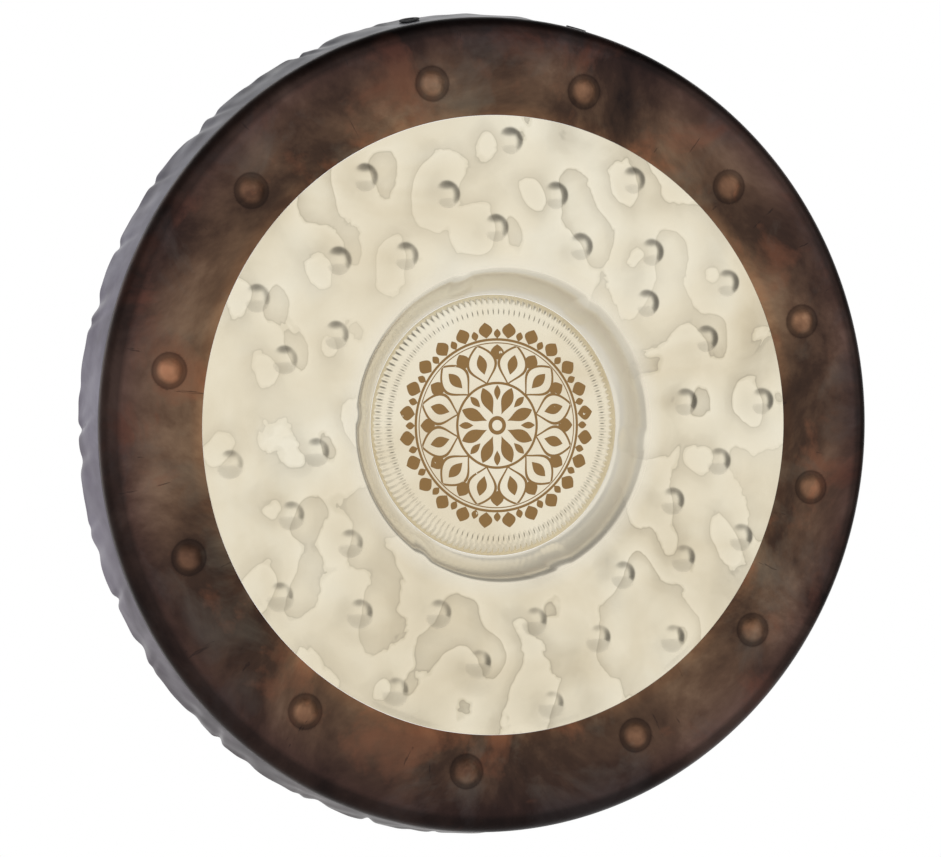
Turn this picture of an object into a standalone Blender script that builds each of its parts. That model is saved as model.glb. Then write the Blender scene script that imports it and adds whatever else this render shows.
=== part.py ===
"""Hammered gong, 660 mm across the shoulder, with a sunken reeded boss.

Metres, +Z up, face towards -Y. The origin is the middle between the two
suspension holes, where the gong hangs. The gong's own axis runs along Y.
"""
import math

import bmesh
import bpy
from mathutils import Vector
from mathutils.geometry import delaunay_2d_cdt

# Sheet and main circles
SHEET = 0.0013            # thickness of the hammered sheet
GAP = 0.0003              # gap kept between two zones of the sheet
SHOULDER_RADIUS = 0.330   # outermost circle of the shoulder
SHOULDER_ROLL = 0.012     # radius of the roll from face to rim
FIELD_RADIUS = 0.250      # edge of the polished playing field
FACE_DISH = 0.004         # how far the field lies behind the shoulder's crest

# Sunken centre
LIP_RADIUS = 0.128        # where the field starts to fall away
CUP_RADIUS = 0.107        # bottom of the moat around the boss
CUP_DEPTH = 0.024         # from the field down to the moat
BOSS_RISE = 0.005         # from the moat up to the boss's flat top
BOSS_FLAT_RADIUS = 0.088  # flat top of the boss
REED_COUNT = 128          # reeds hammered round the boss's edge
REED_DEPTH = 0.0006       # half height of a reed

# Turned-back rim
RIM_DEPTH = 0.040         # from the shoulder's outermost circle to the back edge
RIM_FLARE = 0.009         # how much wider the back edge is than the shoulder
PLEAT_COUNT = 60          # hammer pleats round the back edge
PLEAT_DEPTH = 0.0016      # deepest pleat at the back edge

# Suspension holes and their bushes
HOLE_BEARING = 12.5       # degrees either side of the top
HOLE_FROM_SHOULDER = 0.020
HOLE_RADIUS = 0.0060
BUSH_BORE_RADIUS = 0.0040
BUSH_FLANGE = 0.0024      # flange overhang around the hole
BUSH_LIP = 0.0011         # flange thickness

# Hammered bumps: radius of each circle of bumps, bearings in degrees
# anticlockwise from the right
BUMP_RADIUS = 0.0120
BUMP_HEIGHT = 0.0032
RING_BUMP_HEIGHT = 0.0038
FIELD_BUMPS = (
    (0.116, (53, 107, 176, 236, 294, 354)),
    (0.160, (7, 39, 66, 93, 122, 153, 187, 215, 249, 279, 310, 337)),
    (0.192, (22, 48, 77, 105, 137, 164, 201, 230, 263, 295, 325, 351)),
    (0.230, (5, 31, 61, 89, 121, 154, 187, 215, 246, 280, 310, 336)),
)
RING_BUMPS = ((0.280, (18, 45, 76, 103, 139, 171, 201, 233, 263, 294, 322, 349)),)

# Fineness of the turned circles
SHEET_SEGMENTS = 64
RIM_SEGMENTS = 128
BUSH_SEGMENTS = 16

# Places that follow from the sizes above
CREST_RADIUS = SHOULDER_RADIUS - SHOULDER_ROLL
CREST_Y = -SHOULDER_ROLL
FIELD_Y = CREST_Y + FACE_DISH
MOAT_Y = FIELD_Y + CUP_DEPTH
BOSS_Y = MOAT_Y - BOSS_RISE
BACK_RADIUS = SHOULDER_RADIUS + RIM_FLARE
FLARE_ANGLE = math.atan2(RIM_FLARE, RIM_DEPTH)
HOLE_SHELL_RADIUS = SHOULDER_RADIUS + RIM_FLARE * HOLE_FROM_SHOULDER / RIM_DEPTH
HOLE_HEIGHT = HOLE_SHELL_RADIUS * math.cos(math.radians(HOLE_BEARING))


def clear_scene():
    for obj in list(bpy.data.objects):
        bpy.data.objects.remove(obj, do_unlink=True)


def make_collection(name):
    collection = bpy.data.collections.new(name)
    bpy.context.scene.collection.children.link(collection)
    return collection


def make_material(name, colour, metallic, roughness):
    material = bpy.data.materials.new(name)
    material.use_nodes = True
    shader = material.node_tree.nodes["Principled BSDF"]
    shader.inputs["Base Color"].default_value = (*colour, 1.0)
    shader.inputs["Metallic"].default_value = metallic
    shader.inputs["Roughness"].default_value = roughness
    return material


def smooth_step(value):
    value = min(1.0, max(0.0, value))
    return value * value * (3.0 - 2.0 * value)


def face_depth(radius):
    """Depth of the face at a radius, from the moat out to the crest."""
    if radius >= FIELD_RADIUS:
        return FIELD_Y - FACE_DISH * smooth_step((radius - FIELD_RADIUS) / (CREST_RADIUS - FIELD_RADIUS))
    fall = (LIP_RADIUS - radius) / (LIP_RADIUS - CUP_RADIUS)
    return FIELD_Y + CUP_DEPTH * smooth_step(fall)


def formed_point(x, z, bumps, height):
    """Where a point of the flat blank ends up on the formed face."""
    blank_radius = math.hypot(x, z)
    direction = Vector((x, 0.0, z)) / blank_radius
    if blank_radius > CREST_RADIUS:
        turn = min((blank_radius - CREST_RADIUS) / SHOULDER_ROLL, math.pi / 2)
        radius = CREST_RADIUS + SHOULDER_ROLL * math.sin(turn)
        point = direction * radius
        point.y = CREST_Y + SHOULDER_ROLL * (1.0 - math.cos(turn))
        return point
    point = direction * blank_radius
    point.y = face_depth(blank_radius) - height * bump_share(x, z, bumps)
    return point


def bump_places(circles):
    places = []
    for radius, bearings in circles:
        for bearing in bearings:
            angle = math.radians(bearing)
            places.append((radius * math.cos(angle), radius * math.sin(angle)))
    return places


def bump_share(x, z, bumps):
    """Height of the bumps at a point, from 0 at the foot to 1 at the top."""
    share = 0.0
    for bump_x, bump_z in bumps:
        reach = math.hypot(x - bump_x, z - bump_z) / BUMP_RADIUS
        if reach < 1.0:
            share = max(share, (1.0 - reach * reach) ** 1.5)
    return share


def circle_points(radius, count, centre=(0.0, 0.0), turn=0.0):
    points = []
    for index in range(count):
        angle = turn + 2.0 * math.pi * index / count
        points.append((centre[0] + radius * math.cos(angle), centre[1] + radius * math.sin(angle)))
    return points


def hammered_sheet(name, radii, circles, height, material, collection):
    """A zone of the sheet: a web of circles and bumps, formed and thickened."""
    bumps = bump_places(circles)
    flat = []
    for index, radius in enumerate(radii):
        edge = index in (0, len(radii) - 1)
        turn = 0.0 if edge else (index % 2) * math.pi / SHEET_SEGMENTS
        for point in circle_points(radius, SHEET_SEGMENTS, turn=turn):
            near = any(math.dist(point, bump) < 1.25 * BUMP_RADIUS for bump in bumps)
            if edge or not near:
                flat.append(point)
    for bump in bumps:
        flat.append(bump)
        flat.extend(circle_points(0.5 * BUMP_RADIUS, 6, bump))
        for point in circle_points(BUMP_RADIUS, 8, bump, math.pi / 8):
            if radii[0] + 0.002 < math.hypot(*point) < radii[-1] - 0.002:
                flat.append(point)
    web = delaunay_2d_cdt([Vector(point) for point in flat], [], [], 0, 1e-6)
    inner = radii[0] * math.cos(math.pi / SHEET_SEGMENTS)
    mesh = bpy.data.meshes.new(name)
    sheet = bmesh.new()
    verts = [sheet.verts.new(formed_point(*point, bumps, height)) for point in web[0]]
    for face in web[2]:
        middle = sum((Vector(web[0][corner]) for corner in face), Vector((0.0, 0.0))) / len(face)
        if middle.length > inner:
            sheet.faces.new([verts[corner] for corner in face])
    bmesh.ops.delete(sheet, geom=[v for v in sheet.verts if not v.link_faces], context="VERTS")
    for face in sheet.faces:
        face.normal_update()
        if face.normal.y > 0.0:
            face.normal_flip()
    bmesh.ops.recalc_face_normals(sheet, faces=sheet.faces)
    if sum(face.normal.y for face in sheet.faces) > 0.0:
        bmesh.ops.reverse_faces(sheet, faces=sheet.faces)
    sheet.to_mesh(mesh)
    sheet.free()
    mesh.shade_smooth()
    obj = bpy.data.objects.new(name, mesh)
    collection.objects.link(obj)
    mesh.materials.append(material)
    shell = obj.modifiers.new("sheet", "SOLIDIFY")
    shell.thickness = SHEET
    shell.offset = -1.0
    return obj


def turned_mesh(name, profile, steps, closed):
    """Mesh of an (x, y) profile turned about the Y axis with Screw."""
    mesh = bpy.data.meshes.new(name)
    line = bmesh.new()
    verts = [line.verts.new((radius, depth, 0.0)) for radius, depth in profile]
    for first, second in zip(verts, verts[1:]):
        line.edges.new((first, second))
    if closed:
        line.edges.new((verts[-1], verts[0]))
    line.to_mesh(mesh)
    line.free()
    guide = bpy.data.objects.new(name + "_profile", mesh)
    bpy.context.scene.collection.objects.link(guide)
    screw = guide.modifiers.new("turn", "SCREW")
    screw.axis = "Y"
    screw.steps = steps
    screw.render_steps = steps
    screw.use_merge_vertices = True
    screw.merge_threshold = 0.00001
    screw.use_smooth_shade = True
    turned = bpy.data.meshes.new_from_object(guide.evaluated_get(bpy.context.evaluated_depsgraph_get()))
    bpy.data.objects.remove(guide, do_unlink=True)
    return turned


def face_outwards(mesh):
    solid = bmesh.new()
    solid.from_mesh(mesh)
    bmesh.ops.remove_doubles(solid, verts=solid.verts, dist=0.00001)
    bmesh.ops.recalc_face_normals(solid, faces=solid.faces)
    solid.to_mesh(mesh)
    solid.free()


def boss_profile():
    """Half section of the boss, from the moat to the middle of its flat top."""
    edge = CUP_RADIUS - GAP
    shoulder = edge - BOSS_FLAT_RADIUS
    return (
        (edge, MOAT_Y),
        (edge - 0.12 * shoulder, MOAT_Y - 0.10 * BOSS_RISE),
        (edge - 0.38 * shoulder, MOAT_Y - 0.70 * BOSS_RISE),
        (edge - 0.75 * shoulder, MOAT_Y - 0.97 * BOSS_RISE),
        (BOSS_FLAT_RADIUS, BOSS_Y),
        (0.0, BOSS_Y),
    )


def build_boss(material, collection):
    """Flat-topped boss; its rounded edge is hammered into fine radial reeds."""
    mesh = turned_mesh("boss", boss_profile(), 2 * REED_COUNT, False)
    reeds = bmesh.new()
    reeds.from_mesh(mesh)
    bmesh.ops.remove_doubles(reeds, verts=reeds.verts, dist=0.00001)
    outer = CUP_RADIUS - GAP
    for vert in reeds.verts:
        radius = math.hypot(vert.co.x, vert.co.z)
        along = (radius - BOSS_FLAT_RADIUS) / (outer - BOSS_FLAT_RADIUS)
        if 0.01 < along < 0.99:
            step = round(math.atan2(vert.co.z, vert.co.x) * REED_COUNT / math.pi)
            vert.co.y += REED_DEPTH * (1.0 if step % 2 else -1.0)
    bmesh.ops.recalc_face_normals(reeds, faces=reeds.faces)
    if sum(face.normal.y for face in reeds.faces) > 0.0:
        bmesh.ops.reverse_faces(reeds, faces=reeds.faces)
    reeds.to_mesh(mesh)
    reeds.free()
    mesh.shade_smooth()
    boss = bpy.data.objects.new("boss", mesh)
    boss.data.materials.clear()
    boss.data.materials.append(material)
    collection.objects.link(boss)
    shell = boss.modifiers.new("sheet", "SOLIDIFY")
    shell.thickness = SHEET
    shell.offset = -1.0
    return boss


def pleat_share(bearing):
    """How deep the hammer pleats are at a bearing in radians, from 0 to 1."""
    from_top = abs(math.degrees(bearing) % 360.0 - 90.0)
    if from_top < HOLE_BEARING + 6.0:
        return 0.0
    share = 0.0
    pitch = 360.0 / PLEAT_COUNT
    for index in range(PLEAT_COUNT):
        middle = pitch * (index + 0.28 * math.sin(2.4 * index))
        away = (math.degrees(bearing) - middle + 180.0) % 360.0 - 180.0
        strength = 0.65 + 0.35 * math.sin(1.7 * index)
        share = max(share, strength * math.exp(-(away / (0.36 * pitch)) ** 2))
    return share


def build_rim(material, collection, cutters):
    """Flared band turned back from the shoulder, pleated towards its back edge."""
    stations = [GAP, 0.3 * RIM_DEPTH, 0.66 * RIM_DEPTH, RIM_DEPTH]
    outer = [(SHOULDER_RADIUS + RIM_FLARE * depth / RIM_DEPTH, depth) for depth in stations]
    wall = SHEET / math.cos(FLARE_ANGLE)
    inner = [(radius - wall, depth) for radius, depth in reversed(outer)]
    mesh = turned_mesh("rim_band", outer + inner, RIM_SEGMENTS, True)
    band = bmesh.new()
    band.from_mesh(mesh)
    bmesh.ops.remove_doubles(band, verts=band.verts, dist=0.00001)
    for vert in band.verts:
        bearing = math.atan2(vert.co.z, vert.co.x)
        inward = PLEAT_DEPTH * pleat_share(bearing) * (vert.co.y / RIM_DEPTH) ** 2
        radius = math.hypot(vert.co.x, vert.co.z)
        vert.co.x *= (radius - inward) / radius
        vert.co.z *= (radius - inward) / radius
    bmesh.ops.recalc_face_normals(band, faces=band.faces)
    band.to_mesh(mesh)
    band.free()
    mesh.shade_smooth()
    mesh.set_sharp_from_angle(angle=math.radians(50))
    rim = bpy.data.objects.new("rim_band", mesh)
    rim.data.materials.clear()
    rim.data.materials.append(material)
    collection.objects.link(rim)
    for side in (-1, 1):
        drill = make_drill(side, cutters)
        cut = rim.modifiers.new("suspension_hole", "BOOLEAN")
        cut.operation = "DIFFERENCE"
        cut.solver = "EXACT"
        cut.object = drill
    return rim


def hole_frame(side):
    """Centre and outward direction of a suspension hole; side -1 is left."""
    bearing = math.radians(90.0 - side * HOLE_BEARING)
    radial = Vector((math.cos(bearing), 0.0, math.sin(bearing)))
    outward = radial * math.cos(FLARE_ANGLE) - Vector((0.0, math.sin(FLARE_ANGLE), 0.0))
    centre = radial * HOLE_SHELL_RADIUS + Vector((0.0, HOLE_FROM_SHOULDER, 0.0))
    return centre - outward * (SHEET / 2), outward


def place_along(obj, centre, direction, axis):
    obj.rotation_mode = "QUATERNION"
    obj.rotation_quaternion = Vector(axis).rotation_difference(direction)
    obj.location = centre


def make_drill(side, cutters):
    mesh = bpy.data.meshes.new("drill")
    drill_shape = bmesh.new()
    bmesh.ops.create_cone(
        drill_shape, cap_ends=True, segments=24,
        radius1=HOLE_RADIUS, radius2=HOLE_RADIUS, depth=12.0 * SHEET)
    drill_shape.to_mesh(mesh)
    drill_shape.free()
    drill = bpy.data.objects.new("drill_left" if side < 0 else "drill_right", mesh)
    cutters.objects.link(drill)
    drill.hide_render = True
    drill.display_type = "WIRE"
    centre, outward = hole_frame(side)
    place_along(drill, centre, outward, (0.0, 0.0, 1.0))
    return drill


def build_bush(side, material, collection):
    """Rubber bush in a suspension hole: a grooved ring with the sheet in its groove."""
    groove = SHEET / 2 + GAP
    body = HOLE_RADIUS - GAP
    flange = HOLE_RADIUS + BUSH_FLANGE
    profile = (
        (BUSH_BORE_RADIUS, groove + BUSH_LIP),
        (flange, groove + BUSH_LIP),
        (flange, groove),
        (body, groove),
        (body, -groove),
        (flange, -groove),
        (flange, -groove - BUSH_LIP),
        (BUSH_BORE_RADIUS, -groove - BUSH_LIP),
    )
    name = "hole_bush_left" if side < 0 else "hole_bush_right"
    mesh = turned_mesh(name, profile, BUSH_SEGMENTS, True)
    face_outwards(mesh)
    mesh.shade_smooth()
    mesh.set_sharp_from_angle(angle=math.radians(40))
    bush = bpy.data.objects.new(name, mesh)
    bush.data.materials.clear()
    bush.data.materials.append(material)
    collection.objects.link(bush)
    centre, outward = hole_frame(side)
    place_along(bush, centre, outward, (0.0, 1.0, 0.0))
    return bush


def field_radii():
    wall = LIP_RADIUS - CUP_RADIUS
    slope = [CUP_RADIUS + share * wall for share in (0.0, 0.3, 0.6, 1.0)]
    plain = [LIP_RADIUS + share * (FIELD_RADIUS - LIP_RADIUS) for share in (0.35, 0.68, 1.0)]
    return slope + plain


def ring_radii():
    flat = [FIELD_RADIUS + GAP, (FIELD_RADIUS + CREST_RADIUS) / 2, CREST_RADIUS]
    arc = SHOULDER_ROLL * (math.pi / 2 - GAP / SHOULDER_ROLL)
    return flat + [CREST_RADIUS + arc * step / 4 for step in range(1, 5)]


def main():
    clear_scene()
    gong = make_collection("gong")
    cutters = make_collection("cutters")
    polished = make_material("polished_sheet", (0.78, 0.71, 0.55), 1.0, 0.25)
    patina = make_material("brown_patina", (0.14, 0.085, 0.06), 0.8, 0.45)
    rim_grey = make_material("rim_patina", (0.22, 0.20, 0.22), 0.85, 0.42)
    rubber = make_material("black_rubber", (0.02, 0.02, 0.02), 0.0, 0.7)

    axis = bpy.data.objects.new("gong_axis", None)
    axis.location = (0.0, -HOLE_FROM_SHOULDER, -HOLE_HEIGHT)
    gong.objects.link(axis)
    pieces = [
        build_boss(polished, gong),
        hammered_sheet("playing_field", field_radii(), FIELD_BUMPS, BUMP_HEIGHT, polished, gong),
        hammered_sheet("patina_ring", ring_radii(), RING_BUMPS, RING_BUMP_HEIGHT, patina, gong),
        build_rim(rim_grey, gong, cutters),
        build_bush(-1, rubber, gong),
        build_bush(1, rubber, gong),
    ]
    for piece in pieces + list(cutters.objects):
        piece.parent = axis


main()
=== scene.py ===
"""Looks of the hammered gong: fine surface, finishes, camera and light."""
import math

import bpy
import numpy as np
from mathutils import Matrix, Vector


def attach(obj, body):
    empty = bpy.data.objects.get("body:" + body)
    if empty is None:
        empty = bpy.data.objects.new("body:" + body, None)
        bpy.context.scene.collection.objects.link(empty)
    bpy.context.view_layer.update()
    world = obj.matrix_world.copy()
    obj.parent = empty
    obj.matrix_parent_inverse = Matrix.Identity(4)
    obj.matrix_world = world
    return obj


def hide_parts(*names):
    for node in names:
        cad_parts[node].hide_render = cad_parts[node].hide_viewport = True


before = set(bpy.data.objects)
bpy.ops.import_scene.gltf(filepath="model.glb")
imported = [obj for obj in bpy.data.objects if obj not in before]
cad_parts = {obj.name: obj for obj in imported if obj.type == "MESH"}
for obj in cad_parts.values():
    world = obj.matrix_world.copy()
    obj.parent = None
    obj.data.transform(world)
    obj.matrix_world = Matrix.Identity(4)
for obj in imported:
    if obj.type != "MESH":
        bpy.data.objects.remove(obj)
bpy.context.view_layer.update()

# Sizes of the gong in metres, as the solids have them
AXIS = Vector((0.0, -0.020, -0.3265710))
SHEET = 0.0013
GAP = 0.0003
SHOULDER_RADIUS = 0.330
SHOULDER_ROLL = 0.012
FIELD_RADIUS = 0.250
FACE_DISH = 0.004
LIP_RADIUS = 0.128
CUP_RADIUS = 0.107
CUP_DEPTH = 0.024
BOSS_RISE = 0.005
BOSS_FLAT_RADIUS = 0.088
REED_COUNT = 128
RIM_DEPTH = 0.040
RIM_FLARE = 0.009
PLEAT_COUNT = 60
HOLE_BEARING = 12.5
HOLE_FROM_SHOULDER = 0.020
HOLE_RADIUS = 0.0060
BUSH_BORE_RADIUS = 0.0040
BUSH_FLANGE = 0.0024
BUSH_LIP = 0.0011
BUMP_RADIUS = 0.0120

# Bumps: the radius of each circle, and bearings in degrees anticlockwise from the right
FIELD_BUMPS = (
    (0.116, (53, 107, 176, 236, 294, 354)),
    (0.160, (7, 39, 66, 93, 122, 153, 187, 215, 249, 279, 310, 337)),
    (0.192, (22, 48, 77, 105, 137, 164, 201, 230, 263, 295, 325, 351)),
    (0.230, (5, 31, 61, 89, 121, 154, 187, 215, 246, 280, 310, 336)),
)
RING_BUMPS = ((0.280, (18, 45, 76, 103, 139, 171, 201, 233, 263, 294, 322, 349)),)

# Places that follow from the sizes, with y = 0 at the shoulder's widest circle
CREST_RADIUS = SHOULDER_RADIUS - SHOULDER_ROLL
CREST_Y = -SHOULDER_ROLL
FIELD_Y = CREST_Y + FACE_DISH
MOAT_Y = FIELD_Y + CUP_DEPTH
BOSS_Y = MOAT_Y - BOSS_RISE
BOSS_RADIUS = CUP_RADIUS - GAP
FLARE_ANGLE = math.atan2(RIM_FLARE, RIM_DEPTH)
HOLE_SHELL_RADIUS = SHOULDER_RADIUS + RIM_FLARE * HOLE_FROM_SHOULDER / RIM_DEPTH

# Relief: heights in metres, and layers of unevenness as (height, pitch, seed)
FIELD_BUMP_HEIGHT = 0.0034
FIELD_SWELL_HEIGHT = 0.0008
FIELD_SWELL_SPREAD = 2.4
FIELD_UNEVENNESS = ((0.00028, 0.085, 3), (0.00006, 0.030, 4))
FIELD_INNER_FADE = 0.008
FIELD_OUTER_FADE = 0.006
RING_BUMP_HEIGHT = 0.0036
RING_SWELL_HEIGHT = 0.0002
RING_SWELL_SPREAD = 2.2
RING_UNEVENNESS = ((0.00022, 0.060, 7), (0.00007, 0.018, 8))
RING_INNER_FADE = 0.006
RING_OUTER_FADE = 0.012
RING_FOREMOST_Y = CREST_Y - 0.0014
WEAR_AND_LIGHT_SPREAD = 1.25
BOSS_CENTRE_RADIUS = 0.002
BOSS_EDGE_POWER = 2.6
BOSS_UNEVENNESS = ((0.00010, 0.060, 21),)
BOSS_FADE = 0.02
REED_HEIGHT = 0.00042
REED_ROWS = 2
REED_ROW_CONTRAST = 0.38
REED_INNER_FADE = 0.12
REED_OUTER_FADE = 0.10
PLEAT_DEPTH = 0.0034
PLEAT_GROWTH = 1.8
PLEAT_LEAN = 0.05
PLEAT_CLEAR_OF_HOLE = 2.0
PLEAT_FADE = 4.0
RIM_HOLLOW_DEPTH = 0.0004
RIM_HOLLOW_OFFSET = 1.5
RIM_UNEVENNESS = ((1.0, 0.030, 11),)
RIM_BACK_INSET = 0.0006
RIM_SIDE_INSET = 0.0002
BUSH_ROUNDING = 0.0004

# Painted reflection on the polished field, as swirling light and dark bands: layers as above, and
# what each bump adds to them
REFLECTION_SWIRL_LAYERS = ((0.60, 0.190, 31), (0.26, 0.080, 32))
REFLECTION_SWIRL_SEED = 33
REFLECTION_SWIRL_ANGLES = (-0.5, 0.7)
REFLECTION_SWIRL_REACHES = (0.016, 0.024)
REFLECTION_SWIRL_STRENGTH = 1.7

# How finely the surfaces are divided, and the angles past which an edge is sharp
FIELD_RINGS = 100
RING_FLAT_RINGS = 52
RING_ROLL_RINGS = 18
FACE_TURNS = 1024
RIM_RINGS = 34
RIM_TURNS = 1440
BOSS_RINGS = 44
BOSS_TURNS = 8 * REED_COUNT
HOLE_TURNS = 48
SHEET_SHARP_ANGLE = math.radians(60)
BUSH_SHARP_ANGLE = math.radians(50)

# The photograph's camera, fitted to the outlines of the gong (angles in degrees)
IMAGE_WIDTH = 941
FOCAL_PIXELS = 2438.0
SENSOR_WIDTH = 36.0
CAMERA_DISTANCE = 1.977
CAMERA_AZIMUTH = -20.45
CAMERA_HEIGHT_ANGLE = 0.89
VIEW_AZIMUTH = -19.71
VIEW_HEIGHT_ANGLE = 0.96

# Floor and lamps
FLOOR_PLACE = (0.0, -0.6, -1.06)
FLOOR_SIZE = 3.2
FLOOR_GREY = (0.85, 0.85, 0.85)
LAMPS = (
    ("key", (-1.4, -2.2, 1.2), (1.6, 1.6), 22.0),
    ("fill", (1.8, -1.6, 0.4), (1.2, 1.6), 10.0),
)
WORLD_LEVEL = 0.70

# Colours, with ramps as (position, colour)
BLACK = (0.0, 0.0, 0.0)
WHITE = (1.0, 1.0, 1.0)
CREAM = ((0.30, (0.74, 0.65, 0.48)), (0.50, (0.83, 0.755, 0.59)), (0.72, (0.87, 0.82, 0.68)))
CREAM_SPECK = (0.60, 0.54, 0.42)
# Pale cream in the dish round the boss, a painted sheen standing in for its bright reflection
DISH_PAINTED_SHEEN = (0.84, 0.79, 0.67)
# Light and dark bands of painted reflection on the polished field, and the patches where they lie
PAINTED_REFLECTION_BANDS = (
    (0.0, (0.56, 0.55, 0.53)), (0.05, (0.74, 0.725, 0.70)), (0.40, (0.90, 0.895, 0.88)),
    (0.93, WHITE), (1.0, (0.84, 0.83, 0.80)),
)
PAINTED_REFLECTION_COVER = ((0.34, (0.25, 0.25, 0.25)), (0.62, WHITE))
ENGRAVING = (0.25, 0.135, 0.035)
RING_BROWN = (
    (0.32, (0.014, 0.009, 0.008)), (0.44, (0.045, 0.027, 0.019)),
    (0.54, (0.105, 0.066, 0.043)), (0.68, (0.235, 0.165, 0.110)),
)
COPPER = (0.20, 0.088, 0.050)
COPPER_COVER = ((0.54, BLACK), (0.64, WHITE))
OLIVE = (0.12, 0.112, 0.092)
OLIVE_COVER = ((0.52, BLACK), (0.66, WHITE))
# Lighter at the inner edge of the ring, and a painted dark band of shade on the rolled shoulder
RING_TINT_AND_SHOULDER_SHADE = (
    (0.0, (1.75, 1.45, 1.15)), (0.16, (1.15, 1.05, 0.95)), (0.60, (0.95, 0.85, 0.85)),
    (0.94, (0.62, 0.52, 0.62)), (1.0, (0.30, 0.26, 0.32)),
)
# Near-black painted shade along the creases, which are also grooves in the bump map
CREASE_SHADE = (0.015, 0.010, 0.010)
CREASE_COVER = ((0.66, BLACK), (0.69, WHITE), (0.72, BLACK))
# Bumps of the ring: a painted dark ring of shade round each, and caps lightened partly as wear and
# partly as painted highlight
WEAR_AND_LIGHT_TINT = (
    (0.0, WHITE), (0.06, (0.45, 0.42, 0.42)), (0.34, (0.75, 0.72, 0.70)), (0.70, (2.3, 2.1, 1.9)),
)
RIM_GREY = (
    (0.30, (0.050, 0.042, 0.048)), (0.50, (0.150, 0.135, 0.165)), (0.72, (0.290, 0.280, 0.320)),
)
RIM_TINT = (
    (0.05, (0.42, 0.33, 0.28)), (0.40, (1.0, 0.97, 1.02)), (0.62, (1.0, 1.0, 1.05)),
    (0.90, (0.60, 0.66, 0.64)),
)
RUBBER = ((0.3, (0.012, 0.012, 0.013)), (0.7, (0.03, 0.03, 0.032)))

# Where the dish of the field, painted pale and less metallic as a sheen, ends and the mirror
# finish with its painted reflection starts
DISH_FINISH_RADIUS = 0.112
MIRROR_START_RADIUS = 0.140
RADIUS_TO_RAMP = 5.0

# Rings of the rosette as (radius, half width)
ROSETTE_RINGS = ((0.0700, 0.0010), (0.0672, 0.0004), (0.0345, 0.0010), (0.0060, 0.0016))

# Leaves of the rosette as (count, inner radius, outer radius, width, turn, outline width)
ROSETTE_LEAVES = (
    (24, 0.0710, 0.0845, 0.62, 0.0, None),
    (24, 0.0705, 0.0790, 0.34, 0.5, None),
    (12, 0.0350, 0.0668, 0.90, 0.0, 0.085),
    (12, 0.0420, 0.0600, 0.36, 0.0, None),
    (12, 0.0530, 0.0665, 0.40, 0.5, None),
    (8, 0.0090, 0.0335, 0.62, 0.0, None),
    (8, 0.0200, 0.0335, 0.30, 0.5, None),
)


# Relief as functions of place

def smooth_step(value):
    value = np.clip(value, 0.0, 1.0)
    return value * value * (3.0 - 2.0 * value)


def fade_between(radius, inner, outer, inner_fade, outer_fade):
    """1 between two circles, falling to 0 at both of them."""
    return smooth_step((radius - inner) / inner_fade) * smooth_step((outer - radius) / outer_fade)


def waves(x, z, pitch, seed, count=14):
    """Smooth waves in all directions, mostly from -1 to 1."""
    rng = np.random.default_rng(seed)
    total = np.zeros_like(x)
    for _ in range(count):
        angle = rng.uniform(0.0, 2.0 * math.pi)
        number = 2.0 * math.pi / (pitch * rng.uniform(0.7, 1.5))
        phase = rng.uniform(0.0, 2.0 * math.pi)
        total += np.sin(number * (x * math.cos(angle) + z * math.sin(angle)) + phase)
    return total / math.sqrt(count)


def unevenness(x, z, layers):
    return sum(height * waves(x, z, pitch, seed) for height, pitch, seed in layers)


def bump_places(circles):
    places = []
    for radius, bearings in circles:
        for bearing in bearings:
            angle = math.radians(bearing)
            places.append((radius * math.cos(angle), radius * math.sin(angle)))
    return places


def bump_share(x, z, bumps, spread=1.0):
    """Height of the round hammer bumps, from 0 between them to 1 on top."""
    share = np.zeros_like(x)
    for bump_x, bump_z in bumps:
        reach = ((x - bump_x) ** 2 + (z - bump_z) ** 2) / (spread * BUMP_RADIUS) ** 2
        share = np.maximum(share, np.clip(1.0 - reach, 0.0, 1.0) ** 1.5)
    return share


def pleat_share(bearing):
    """Depth of the hammer pleats round the rim, from 0 to 1."""
    degrees = np.degrees(bearing) % 360.0
    share = np.zeros_like(degrees)
    pitch = 360.0 / PLEAT_COUNT
    for index in range(PLEAT_COUNT):
        scatter = 0.28 * math.sin(2.4 * index)
        strength = 0.65 + 0.35 * math.sin(1.7 * index)
        width = pitch * (0.16 + 0.05 * math.sin(3.1 * index))
        away = (degrees - pitch * (index + scatter) + 180.0) % 360.0 - 180.0
        share = np.maximum(share, strength * np.exp(-(away / width) ** 2))
    from_hole = np.abs(degrees - 90.0) - HOLE_BEARING
    return share * smooth_step((from_hole - PLEAT_CLEAR_OF_HOLE) / PLEAT_FADE)


# Values stored on the vertices, which the materials read

def face_places(obj):
    """Each vertex's x and z from the gong's axis."""
    coords = np.empty(len(obj.data.vertices) * 3)
    obj.data.vertices.foreach_get("co", coords)
    coords = coords.reshape(-1, 3)
    return coords[:, 0], coords[:, 2] - AXIS.z


def store(obj, name, values):
    attribute = obj.data.attributes.new(name, "FLOAT", "POINT")
    attribute.data.foreach_set("value", values.astype(np.float32))


def store_reflection_swirl(obj, bumps):
    """Painted reflection: swirling light and dark bands that bend round the bumps as the slope of
    the sheet does.
    """
    x, z = face_places(obj)
    reflection_swirl = unevenness(x, z, REFLECTION_SWIRL_LAYERS)
    rng = np.random.default_rng(REFLECTION_SWIRL_SEED)
    for bump_x, bump_z in bumps:
        angle = rng.uniform(*REFLECTION_SWIRL_ANGLES)
        reach = rng.uniform(*REFLECTION_SWIRL_REACHES)
        away_x = x - bump_x
        away_z = z - bump_z
        near = np.exp(-(away_x ** 2 + away_z ** 2) / reach ** 2)
        slope = (away_x * math.cos(angle) + away_z * math.sin(angle)) / reach
        reflection_swirl += REFLECTION_SWIRL_STRENGTH * near * slope
    store(obj, "reflection_swirl", reflection_swirl)


# Sheets as fine polar webs

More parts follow.
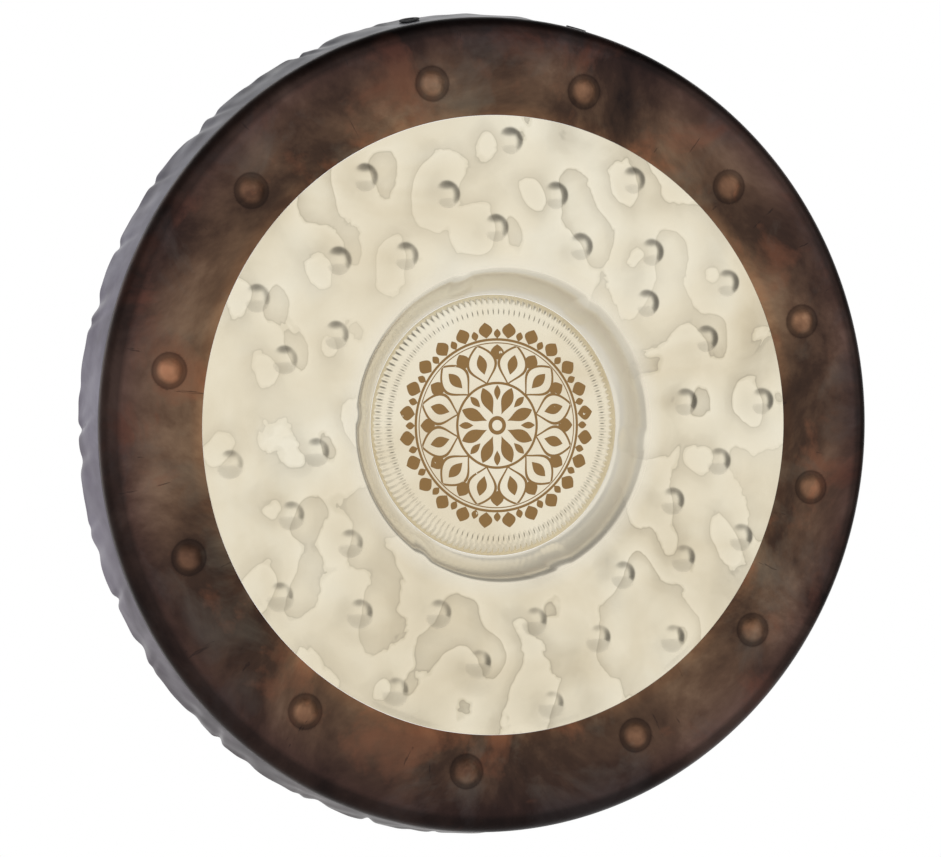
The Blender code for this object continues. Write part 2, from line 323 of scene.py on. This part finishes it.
def polar(radii, turns):
    angle = np.linspace(0.0, 2.0 * math.pi, turns, endpoint=False)
    return np.meshgrid(np.asarray(radii), angle, indexing="ij")


def add_object(name, mesh, material, sharp_angle):
    mesh.shade_smooth()
    mesh.set_sharp_from_angle(angle=sharp_angle)
    mesh.materials.append(material)
    obj = bpy.data.objects.new(name, mesh)
    bpy.context.scene.collection.objects.link(obj)
    return obj


def face_outwards(mesh):
    """Turns the faces of a closed mesh outwards."""
    helper = bpy.data.objects.new("helper", mesh)
    bpy.context.scene.collection.objects.link(helper)
    bpy.context.view_layer.objects.active = helper
    helper.select_set(True)
    bpy.ops.object.mode_set(mode="EDIT")
    bpy.ops.mesh.select_all(action="SELECT")
    bpy.ops.mesh.normals_make_consistent(inside=False)
    bpy.ops.object.mode_set(mode="OBJECT")
    bpy.data.objects.remove(helper, do_unlink=True)


def sheet_from_front(name, front, material, closed_centre=False):
    """A closed sheet from a (rings, turns, 3) grid of points on its front."""
    rings, turns, _ = front.shape
    around = np.roll(front, -1, axis=1) - np.roll(front, 1, axis=1)
    outward = np.gradient(front, axis=0)
    normal = np.cross(outward, around)
    normal /= np.linalg.norm(normal, axis=2, keepdims=True)
    back = front - normal * SHEET
    coords = [front.reshape(-1, 3), back.reshape(-1, 3)]

    here = np.arange(rings * turns).reshape(rings, turns)
    there = np.roll(here, -1, axis=1)
    to_back = rings * turns
    quads = np.stack([here[:-1], there[:-1], there[1:], here[1:]], axis=-1).reshape(-1, 4)
    edge = np.stack([here[-1], there[-1], there[-1] + to_back, here[-1] + to_back], axis=-1)
    faces = quads.tolist() + (quads[:, ::-1] + to_back).tolist() + edge.tolist()
    if closed_centre:
        middle = front[0].mean(axis=0)
        coords.append(np.array([middle, middle + np.array([0.0, SHEET, 0.0])]))
        centre = 2 * to_back
        for first, second in zip(here[0], there[0]):
            faces.append([centre, second, first])
            faces.append([centre + 1, first + to_back, second + to_back])
    else:
        edge = np.stack([there[0], here[0], here[0] + to_back, there[0] + to_back], axis=-1)
        faces += edge.tolist()

    mesh = bpy.data.meshes.new(name)
    mesh.from_pydata((np.concatenate(coords) + np.array(AXIS)).tolist(), [], faces)
    mesh.validate()
    mesh.update()
    face_outwards(mesh)
    return add_object(name, mesh, material, SHEET_SHARP_ANGLE)


def build_field(material):
    """The polished, bumped part of the face, down to the moat."""
    radius, bearing = polar(np.linspace(CUP_RADIUS, FIELD_RADIUS, FIELD_RINGS), FACE_TURNS)
    x = radius * np.cos(bearing)
    z = radius * np.sin(bearing)
    fall = (LIP_RADIUS - radius) / (LIP_RADIUS - CUP_RADIUS)
    depth = FIELD_Y + CUP_DEPTH * smooth_step(fall)
    bumps = bump_places(FIELD_BUMPS)
    relief = FIELD_BUMP_HEIGHT * bump_share(x, z, bumps)
    relief += FIELD_SWELL_HEIGHT * bump_share(x, z, bumps, FIELD_SWELL_SPREAD)
    relief += unevenness(x, z, FIELD_UNEVENNESS)
    relief *= fade_between(radius, CUP_RADIUS, FIELD_RADIUS, FIELD_INNER_FADE, FIELD_OUTER_FADE)
    front = np.stack([x, depth - relief, z], axis=-1)
    sheet = sheet_from_front("field_surface", front, material)
    store_reflection_swirl(sheet, bumps)
    return sheet


def build_ring(material):
    """The dark part of the face and the rolled shoulder."""
    flat = np.linspace(FIELD_RADIUS + GAP, CREST_RADIUS, RING_FLAT_RINGS)
    turn = np.linspace(0.0, math.pi / 2 - GAP / SHOULDER_ROLL, RING_ROLL_RINGS)[1:]
    blank = np.concatenate([flat, CREST_RADIUS + turn * SHOULDER_ROLL])
    radius, bearing = polar(blank, FACE_TURNS)
    rise = smooth_step((radius - FIELD_RADIUS) / (CREST_RADIUS - FIELD_RADIUS))
    depth = FIELD_Y - FACE_DISH * rise
    roll = np.clip((radius - CREST_RADIUS) / SHOULDER_ROLL, 0.0, math.pi / 2)
    rolled = radius > CREST_RADIUS
    formed = np.where(rolled, CREST_RADIUS + SHOULDER_ROLL * np.sin(roll), radius)
    depth = np.where(rolled, CREST_Y + SHOULDER_ROLL * (1.0 - np.cos(roll)), depth)
    x = formed * np.cos(bearing)
    z = formed * np.sin(bearing)
    bumps = bump_places(RING_BUMPS)
    relief = RING_BUMP_HEIGHT * bump_share(x, z, bumps)
    relief += RING_SWELL_HEIGHT * bump_share(x, z, bumps, RING_SWELL_SPREAD)
    relief += unevenness(x, z, RING_UNEVENNESS)
    relief *= fade_between(radius, FIELD_RADIUS, CREST_RADIUS, RING_INNER_FADE, RING_OUTER_FADE)
    front = np.stack([x, np.maximum(depth - relief, RING_FOREMOST_Y), z], axis=-1)
    sheet = sheet_from_front("ring_surface", front, material)
    store(sheet, "wear_and_light", bump_share(*face_places(sheet), bumps, WEAR_AND_LIGHT_SPREAD))
    return sheet


def build_boss(material):
    """Flat-topped boss with two rows of small reeds round its edge."""
    flat = np.linspace(BOSS_CENTRE_RADIUS, BOSS_FLAT_RADIUS, BOSS_RINGS)
    edge = np.linspace(BOSS_FLAT_RADIUS, BOSS_RADIUS, BOSS_RINGS)[1:]
    radius, bearing = polar(np.concatenate([flat, edge]), BOSS_TURNS)
    across = np.clip((radius - BOSS_FLAT_RADIUS) / (BOSS_RADIUS - BOSS_FLAT_RADIUS), 0.0, 1.0)
    height = np.sqrt(np.clip(1.0 - across ** BOSS_EDGE_POWER, 0.0, 1.0))
    depth = np.minimum(BOSS_Y + BOSS_RISE * (1.0 - height), MOAT_Y)
    window = fade_between(across, 0.0, 1.0, REED_INNER_FADE, REED_OUTER_FADE)
    rows = 1.0 - REED_ROW_CONTRAST * (1.0 + np.cos(2.0 * math.pi * REED_ROWS * across))
    reeds = REED_HEIGHT * window * rows * np.cos(REED_COUNT * bearing)
    x = radius * np.cos(bearing)
    z = radius * np.sin(bearing)
    calm = unevenness(x, z, BOSS_UNEVENNESS) * smooth_step((BOSS_FLAT_RADIUS - radius) / BOSS_FADE)
    front = np.stack([x, depth - reeds - calm, z], axis=-1)
    return sheet_from_front("boss_surface", front, material, closed_centre=True)


def build_rim(material):
    """The pleated rim that is turned back from the shoulder, with its two holes."""
    depth, bearing = polar(np.linspace(GAP, RIM_DEPTH - RIM_BACK_INSET, RIM_RINGS), RIM_TURNS)
    along = depth / RIM_DEPTH
    pleats = pleat_share(bearing + PLEAT_LEAN * (1.0 - along))
    hollows = unevenness(bearing * SHOULDER_RADIUS, depth, RIM_UNEVENNESS) + RIM_HOLLOW_OFFSET
    inward = PLEAT_DEPTH * pleats * along ** PLEAT_GROWTH
    inward += (RIM_HOLLOW_DEPTH * hollows + RIM_SIDE_INSET) * along
    radius = SHOULDER_RADIUS + RIM_FLARE * along - inward
    front = np.stack([radius * np.cos(bearing), depth, radius * np.sin(bearing)], axis=-1)
    rim = sheet_from_front("rim_surface", front, material)
    for side in (-1, 1):
        drill_hole(rim, side)
    return rim


# Holes and their bushes

def hole_frame(side):
    """Middle of a hole in the sheet as a matrix, with Z pointing out of the rim."""
    bearing = math.radians(90.0 - side * HOLE_BEARING)
    radial = Vector((math.cos(bearing), 0.0, math.sin(bearing)))
    outward = radial * math.cos(FLARE_ANGLE) - Vector((0.0, math.sin(FLARE_ANGLE), 0.0))
    centre = radial * HOLE_SHELL_RADIUS + Vector((0.0, HOLE_FROM_SHOULDER, 0.0))
    turn = Vector((0.0, 0.0, 1.0)).rotation_difference(outward).to_matrix().to_4x4()
    return Matrix.Translation(AXIS + centre - outward * (SHEET / 2)) @ turn


def drill_hole(rim, side):
    bpy.ops.mesh.primitive_cylinder_add(
        vertices=HOLE_TURNS, radius=HOLE_RADIUS, depth=12.0 * SHEET)
    drill = bpy.context.object
    drill.matrix_world = hole_frame(side)
    cut = rim.modifiers.new("hole", "BOOLEAN")
    cut.object = drill
    cut.solver = "EXACT"
    bpy.context.view_layer.objects.active = rim
    bpy.ops.object.modifier_apply(modifier=cut.name)
    bpy.data.objects.remove(drill, do_unlink=True)


def build_bush(name, side, material):
    """A turned rubber ring that grips the edge of a hole."""
    groove = SHEET / 2 + GAP
    top = groove + BUSH_LIP
    flange = HOLE_RADIUS + BUSH_FLANGE
    body = HOLE_RADIUS - GAP
    half = [
        (BUSH_BORE_RADIUS, 0.0),
        (BUSH_BORE_RADIUS, top - BUSH_ROUNDING),
        (BUSH_BORE_RADIUS + BUSH_ROUNDING, top),
        (flange - BUSH_ROUNDING, top),
        (flange, top - BUSH_ROUNDING),
        (flange, groove),
        (body, groove),
        (body, 0.0),
    ]
    profile = half + [(radius, -height) for radius, height in reversed(half[1:-1])]
    count = len(profile)
    verts = []
    faces = []
    for step in range(HOLE_TURNS):
        angle = 2.0 * math.pi * step / HOLE_TURNS
        here = step * count
        there = ((step + 1) % HOLE_TURNS) * count
        for index, (radius, height) in enumerate(profile):
            after = (index + 1) % count
            verts.append((radius * math.cos(angle), radius * math.sin(angle), height))
            faces.append((here + index, there + index, there + after, here + after))
    mesh = bpy.data.meshes.new(name)
    mesh.from_pydata(verts, [], faces)
    mesh.transform(hole_frame(side))
    return add_object(name, mesh, material, BUSH_SHARP_ANGLE)


# Shader nodes

class Nodes:
    """Short names for making and wiring the nodes of one tree."""

    def __init__(self, tree):
        self.tree = tree

    def new(self, kind):
        return self.tree.nodes.new(kind)

    def link(self, source, target):
        self.tree.links.new(source, target)

    def put(self, value, socket):
        """Sets a socket to a number or a colour, or links it to an output."""
        if isinstance(value, (int, float)):
            socket.default_value = value
        elif isinstance(value, tuple):
            socket.default_value = (*value, 1.0)
        else:
            self.link(value, socket)

    def math(self, operation, *values):
        node = self.new("ShaderNodeMath")
        node.operation = operation
        for value, socket in zip(values, node.inputs):
            self.put(value, socket)
        return node.outputs[0]

    def step(self, value, low, high, from_value, to_value):
        """A smooth change from one value to another as the input goes from low to high."""
        node = self.new("ShaderNodeMapRange")
        node.interpolation_type = "SMOOTHSTEP"
        self.link(value, node.inputs["Value"])
        node.inputs["From Min"].default_value = low
        node.inputs["From Max"].default_value = high
        node.inputs["To Min"].default_value = from_value
        node.inputs["To Max"].default_value = to_value
        return node.outputs[0]

    def split(self, vector):
        node = self.new("ShaderNodeSeparateXYZ")
        self.link(vector, node.inputs[0])
        return node.outputs


class Finish(Nodes):
    """A material, with places measured from the gong's axis."""

    def __init__(self, name, metallic=0.0):
        self.material = bpy.data.materials.new(name)
        self.material.use_nodes = True
        super().__init__(self.material.node_tree)
        self.shader = self.tree.nodes["Principled BSDF"]
        self.shader.inputs["Metallic"].default_value = metallic
        coords = self.new("ShaderNodeTexCoord")
        shift = self.new("ShaderNodeVectorMath")
        shift.operation = "SUBTRACT"
        shift.inputs[1].default_value = tuple(AXIS)
        self.link(coords.outputs["Object"], shift.inputs[0])
        self.place = shift.outputs[0]

    def noise(self, seed, scale, detail=4.0, roughness=0.55, distortion=0.0, place=None):
        node = self.new("ShaderNodeTexNoise")
        node.noise_dimensions = "4D"
        node.inputs["W"].default_value = seed
        node.inputs["Scale"].default_value = scale
        node.inputs["Detail"].default_value = detail
        node.inputs["Roughness"].default_value = roughness
        node.inputs["Distortion"].default_value = distortion
        self.link(place or self.place, node.inputs["Vector"])
        return node.outputs["Fac"]

    def ramp(self, factor, stops):
        node = self.new("ShaderNodeValToRGB")
        elements = node.color_ramp.elements
        while len(elements) < len(stops):
            elements.new(0.5)
        for element, (position, colour) in zip(elements, stops):
            element.position = position
            element.color = (*colour, 1.0)
        self.link(factor, node.inputs[0])
        return node.outputs[0]

    def mix(self, factor, first, second, blend="MIX"):
        node = self.new("ShaderNodeMix")
        node.data_type = "RGBA"
        node.blend_type = blend
        self.put(factor, node.inputs[0])
        self.put(first, node.inputs[6])
        self.put(second, node.inputs[7])
        return node.outputs[2]

    def stored(self, name):
        node = self.new("ShaderNodeAttribute")
        node.attribute_name = name
        return node.outputs["Fac"]

    def polar(self):
        """Radius, bearing and depth of each point."""
        x, y, z = self.split(self.place)
        square = self.math("ADD", self.math("MULTIPLY", x, x), self.math("MULTIPLY", z, z))
        return self.math("SQRT", square), self.math("ARCTAN2", z, x), y

    def set_colour(self, colour):
        self.put(colour, self.shader.inputs["Base Color"])

    def set_metallic(self, metallic):
        self.put(metallic, self.shader.inputs["Metallic"])

    def set_roughness(self, noise, spread, least):
        rough = self.math("MULTIPLY_ADD", noise, spread, least)
        self.put(rough, self.shader.inputs["Roughness"])

    def set_bump(self, height, strength, distance):
        node = self.new("ShaderNodeBump")
        node.inputs["Strength"].default_value = strength
        node.inputs["Distance"].default_value = distance
        self.link(height, node.inputs["Height"])
        self.link(node.outputs[0], self.shader.inputs["Normal"])


# Materials

def polished_metal(name):
    """Pale polished metal: its finish, its cloudy tone and its fine grain."""
    finish = Finish(name, metallic=1.0)
    cloud = finish.noise(seed=1.0, scale=7.0, detail=3.0, roughness=0.5, distortion=1.2)
    grain = finish.noise(seed=2.0, scale=420.0, detail=3.0, roughness=0.6)
    speck = finish.math("MULTIPLY", grain, 0.10)
    tone = finish.mix(speck, finish.ramp(cloud, CREAM), CREAM_SPECK)
    finish.set_roughness(finish.noise(seed=3.0, scale=40.0), spread=0.12, least=0.16)
    return finish, tone, grain


def field_material():
    finish, tone, grain = polished_metal("polished_field")
    # Swirling light and dark bands of painted reflection, laid in patches over the metal's cloudy
    # tone
    reflection_ripple = finish.noise(seed=4.0, scale=26.0, detail=3.0, roughness=0.5, distortion=0.8)
    reflection_flow = finish.math("MULTIPLY_ADD", finish.stored("reflection_swirl"), 0.95, reflection_ripple)
    painted_reflection = finish.ramp(finish.math("FRACT", reflection_flow), PAINTED_REFLECTION_BANDS)
    patches = finish.noise(seed=26.0, scale=5.0, detail=3.0, roughness=0.5, distortion=0.4)
    reflected_tone = finish.mix(1.0, tone, painted_reflection, "MULTIPLY")
    tone = finish.mix(finish.ramp(patches, PAINTED_REFLECTION_COVER), tone, reflected_tone)

    radius, _, _ = finish.polar()
    mirror_and_painted_reflection = finish.ramp(finish.math("MULTIPLY", radius, RADIUS_TO_RAMP), (
        (DISH_FINISH_RADIUS * RADIUS_TO_RAMP, BLACK),
        (MIRROR_START_RADIUS * RADIUS_TO_RAMP, WHITE),
    ))
    finish.set_metallic(finish.math("MULTIPLY_ADD", mirror_and_painted_reflection, 0.60, 0.40))
    # In the dish a plain pale cream stands in for its bright reflection as painted sheen; further
    # out the painted reflection bands
    finish.set_colour(finish.mix(mirror_and_painted_reflection, DISH_PAINTED_SHEEN, tone))
    finish.set_bump(grain, strength=0.06, distance=0.0004)
    return finish.material


def rosette(finish):
    """Generic rosette of leaves and rings on the front of the boss: 1 on a line."""
    radius, bearing, depth = finish.polar()

    def ring(at, half_width):
        away = finish.math("ABSOLUTE", finish.math("SUBTRACT", radius, at))
        return finish.math("LESS_THAN", away, half_width)

    def leaves(count, inner, outer, width, turn, outline):
        """A circle of leaves, filled or as outlines, with widths as shares of the pitch."""
        along = finish.math("DIVIDE", finish.math("SUBTRACT", radius, inner), outer - inner)
        along = finish.math("MINIMUM", finish.math("MAXIMUM", along, 0.0), 1.0)
        swell = finish.math("SINE", finish.math("MULTIPLY", along, math.pi))
        swell = finish.math("MULTIPLY", swell, width)
        phase = finish.math("MULTIPLY_ADD", bearing, count / (2.0 * math.pi), 16.0 + turn)
        away = finish.math("SUBTRACT", finish.math("FRACT", phase), 0.5)
        away = finish.math("MULTIPLY", finish.math("ABSOLUTE", away), 2.0)
        if outline is None:
            return finish.math("LESS_THAN", away, finish.math("SUBTRACT", swell, 0.04))
        edge = finish.math("ABSOLUTE", finish.math("SUBTRACT", away, swell))
        inside = finish.math("GREATER_THAN", swell, 0.03)
        return finish.math("MULTIPLY", inside, finish.math("LESS_THAN", edge, outline))

    drawing = ring(*ROSETTE_RINGS[0])
    for sizes in ROSETTE_RINGS[1:]:
        drawing = finish.math("MAXIMUM", drawing, ring(*sizes))
    for sizes in ROSETTE_LEAVES:
        drawing = finish.math("MAXIMUM", drawing, leaves(*sizes))
    front = finish.math("LESS_THAN", depth, BOSS_Y + SHEET / 2)
    return finish.math("MULTIPLY", drawing, front)


def boss_material():
    finish, tone, grain = polished_metal("engraved_boss")
    kept = finish.math("GREATER_THAN", finish.noise(seed=9.0, scale=160.0), 0.30)
    line = finish.math("MULTIPLY", rosette(finish), kept)
    finish.set_colour(finish.mix(line, tone, ENGRAVING))
    finish.set_metallic(finish.math("MULTIPLY_ADD", line, -0.75, 1.0))
    height = finish.math("SUBTRACT", finish.math("MULTIPLY", grain, 0.1), line)
    finish.set_bump(height, strength=0.35, distance=0.0003)
    return finish.material


def ring_material():
    """Brown patina with coppery and olive patches, a painted dark band of shade on the shoulder,
    creases with painted shade, and bumps with wear, painted highlights and a painted ring of
    shade.
    """
    finish = Finish("patina_ring", metallic=0.85)
    radius, bearing, _ = finish.polar()
    large = finish.noise(seed=5.0, scale=6.0, detail=6.0, roughness=0.62, distortion=0.8)
    colour = finish.ramp(large, RING_BROWN)
    patches = finish.noise(seed=6.0, scale=15.0, detail=5.0, roughness=0.6, distortion=0.5)
    cover = finish.math("MULTIPLY", finish.ramp(patches, COPPER_COVER), 0.45)
    colour = finish.mix(cover, colour, COPPER)
    patches = finish.noise(seed=8.0, scale=11.0, detail=5.0, roughness=0.6, distortion=1.0)
    cover = finish.math("MULTIPLY", finish.ramp(patches, OLIVE_COVER), 0.45)
    colour = finish.mix(cover, colour, OLIVE)

    # Lighter at the ring's inner edge, and painted shade darkening the rolled shoulder almost to
    # black
    across = finish.math("SUBTRACT", radius, FIELD_RADIUS)
    across = finish.math("DIVIDE", across, CREST_RADIUS - FIELD_RADIUS)
    colour = finish.mix(1.0, colour, finish.ramp(across, RING_TINT_AND_SHOULDER_SHADE), "MULTIPLY")

    unrolled = finish.new("ShaderNodeCombineXYZ")
    finish.put(finish.math("MULTIPLY", bearing, 4.0), unrolled.inputs[0])
    finish.put(finish.math("MULTIPLY", radius, 2.2), unrolled.inputs[1])
    streaks = finish.noise(
        seed=27.0, scale=9.0, roughness=0.6, distortion=0.6, place=unrolled.outputs[0])
    crease = finish.ramp(streaks, CREASE_COVER)
    # Painted shade darkens the creases, on top of their grooves in the bump
    colour = finish.mix(finish.math("MULTIPLY", crease, 0.6), colour, CREASE_SHADE)
    # Round each bump a painted ring of shade, and on its cap wear and a painted highlight
    wear_and_light = finish.ramp(finish.stored("wear_and_light"), WEAR_AND_LIGHT_TINT)
    finish.set_colour(finish.mix(1.0, colour, wear_and_light, "MULTIPLY"))

    finish.set_roughness(finish.noise(seed=12.0, scale=30.0, detail=5.0), spread=0.30, least=0.20)
    coarse = finish.noise(seed=13.0, scale=85.0, detail=5.0, roughness=0.6)
    grain = finish.math("ADD", coarse, finish.noise(seed=14.0, scale=420.0, detail=2.0))
    height = finish.math("SUBTRACT", grain, finish.math("MULTIPLY", crease, 1.5))
    finish.set_bump(height, strength=0.25, distance=0.0006)
    return finish.material


def rim_material():
    """Grey patina, darker and browner towards the bottom and darker and greener towards the top.
    """
    finish = Finish("rim_patina", metallic=0.85)
    large = finish.noise(seed=15.0, scale=10.0, detail=5.0, roughness=0.6, distortion=0.6)
    _, _, height = finish.split(finish.place)
    tint = finish.ramp(finish.math("MULTIPLY_ADD", height, 1.4, 0.5), RIM_TINT)
    finish.set_colour(finish.mix(1.0, finish.ramp(large, RIM_GREY), tint, "MULTIPLY"))
    finish.set_roughness(finish.noise(seed=16.0, scale=36.0, detail=5.0), spread=0.25, least=0.20)
    finish.set_bump(finish.noise(seed=17.0, scale=120.0), strength=0.18, distance=0.0005)
    return finish.material


def rubber_material():
    finish = Finish("black_rubber")
    finish.set_colour(finish.ramp(finish.noise(seed=18.0, scale=300.0, detail=3.0), RUBBER))
    finish.shader.inputs["Roughness"].default_value = 0.65
    finish.set_bump(
        finish.noise(seed=19.0, scale=900.0, detail=2.0), strength=0.2, distance=0.0002)
    return finish.material


# Camera, light and floor

def back_vector(azimuth, height_angle):
    """From the gong towards a camera at these angles in degrees."""
    turn = math.radians(azimuth)
    lift = math.radians(height_angle)
    return Vector((
        math.sin(turn) * math.cos(lift), -math.cos(turn) * math.cos(lift), math.sin(lift)))


def aim(obj, back):
    obj.rotation_mode = "QUATERNION"
    obj.rotation_quaternion = back.to_track_quat("Z", "Y")


def add_camera():
    data = bpy.data.cameras.new("camera")
    data.sensor_fit = "HORIZONTAL"
    data.sensor_width = SENSOR_WIDTH
    data.lens = SENSOR_WIDTH * FOCAL_PIXELS / IMAGE_WIDTH
    camera = bpy.data.objects.new("camera", data)
    camera.location = AXIS + CAMERA_DISTANCE * back_vector(CAMERA_AZIMUTH, CAMERA_HEIGHT_ANGLE)
    aim(camera, back_vector(VIEW_AZIMUTH, VIEW_HEIGHT_ANGLE))
    bpy.context.scene.collection.objects.link(camera)
    bpy.context.scene.camera = camera


def add_lamp(name, place, size, power):
    data = bpy.data.lights.new(name, "AREA")
    data.shape = "RECTANGLE"
    data.size, data.size_y = size
    data.energy = power
    lamp = bpy.data.objects.new(name, data)
    lamp.location = place
    lamp.visible_glossy = False
    aim(lamp, Vector(place) - AXIS)
    bpy.context.scene.collection.objects.link(lamp)


def add_floor():
    bpy.ops.mesh.primitive_plane_add(size=FLOOR_SIZE, location=FLOOR_PLACE)
    floor = bpy.context.object
    floor.name = "floor"
    material = bpy.data.materials.new("floor")
    material.use_nodes = True
    shader = material.node_tree.nodes["Principled BSDF"]
    shader.inputs["Base Color"].default_value = (*FLOOR_GREY, 1.0)
    shader.inputs["Roughness"].default_value = 0.9
    floor.data.materials.append(material)


def add_world():
    """White to the camera, and a soft studio with dim sides and top in reflections."""
    world = bpy.data.worlds.new("studio")
    bpy.context.scene.world = world
    world.use_nodes = True
    nodes = Nodes(world.node_tree)
    coords = nodes.new("ShaderNodeTexCoord")
    x, y, z = nodes.split(coords.outputs["Generated"])
    ahead = nodes.step(nodes.math("ABSOLUTE", y), 0.30, 0.72, 0.16, 1.0)
    left = nodes.step(x, -0.20, -0.60, 0.0, 0.50)
    top = nodes.step(z, 0.42, 0.75, 1.0, 0.30)
    studio = nodes.math("MULTIPLY", nodes.math("MAXIMUM", ahead, left), top)

    path = nodes.new("ShaderNodeLightPath").outputs
    straight = nodes.math("MAXIMUM", path["Is Camera Ray"], path["Is Transmission Ray"])
    mix = nodes.new("ShaderNodeMix")
    mix.data_type = "FLOAT"
    nodes.put(nodes.math("MAXIMUM", straight, path["Is Glossy Ray"]), mix.inputs[0])
    nodes.put(WORLD_LEVEL, mix.inputs[2])
    nodes.put(nodes.math("MAXIMUM", studio, straight), mix.inputs[3])
    background = nodes.tree.nodes["Background"]
    nodes.link(mix.outputs[0], background.inputs["Color"])
    background.inputs["Strength"].default_value = 1.0


def main():
    bpy.context.scene.view_settings.view_transform = "Standard"
    add_camera()
    add_world()
    add_floor()
    for lamp in LAMPS:
        add_lamp(*lamp)

    rubber = rubber_material()
    pieces = (
        (build_boss(boss_material()), "boss", "boss"),
        (build_field(field_material()), "playing_field", "playing_field"),
        (build_ring(ring_material()), "patina_ring", "patina_ring"),
        (build_rim(rim_material()), "rim_band", "rim_band"),
        (build_bush("bush_left", -1, rubber), "hole_bush_left", "hole_bush"),
        (build_bush("bush_right", 1, rubber), "hole_bush_right", "hole_bush"),
    )
    for piece, node, slot in pieces:
        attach(piece, "root")
        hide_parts(node)


main()
